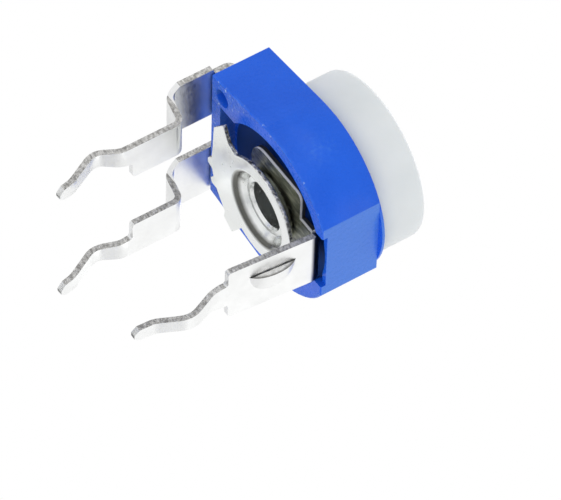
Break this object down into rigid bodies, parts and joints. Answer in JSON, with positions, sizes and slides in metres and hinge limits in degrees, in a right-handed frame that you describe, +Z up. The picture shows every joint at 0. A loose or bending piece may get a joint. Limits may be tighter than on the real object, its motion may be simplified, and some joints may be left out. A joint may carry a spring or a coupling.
{
  "type": "trimmer potentiometer",
  "caption": "Small open-frame carbon trimmer potentiometer with a round adjusting knob on top and three snap-in board pins.",
  "frame": {"origin": "on the knob's axis, in the plane of the board that the shoulders of the end pins sit on", "axes": "+Z up along the knob's axis, away from the board; X along the row of the two end pins, which is on the +Y side; the centre pin is on the -Y side"},
  "size_m": [0.007, 0.0072, 0.011],
  "materials": {
    "blue_plastic": "moulded",
    "pale_plastic": "moulded",
    "tinned_steel": "tin plated",
    "plated_disc": "nickel plated",
    "phenolic": "pressed",
    "carbon_film": "printed",
    "silver_film": "printed",
    "spring_bronze": "rolled"
  },
  "bodies": {
    "base": {"housing": "blue_plastic", "resistor_board": "phenolic", "carbon_track": "carbon_film", "end_pad_1": "silver_film", "end_pad_3": "silver_film", "terminal_1": "tinned_steel", "terminal_2": "tinned_steel", "terminal_3": "tinned_steel", "rivet_1": "plated_disc", "rivet_3": "plated_disc"},
    "rotor": {"knob": "pale_plastic", "wiper_spring": "spring_bronze", "hub_eyelet": "plated_disc", "rotor_disc": "plated_disc"}
  },
  "joints": [
    {"name": "knob_turn", "type": "hinge", "parent": "base", "child": "rotor", "pos_m": [0, 0, 0.00382], "axis": [0, 0, 1], "range_deg": [-91, 107]}
  ]
}
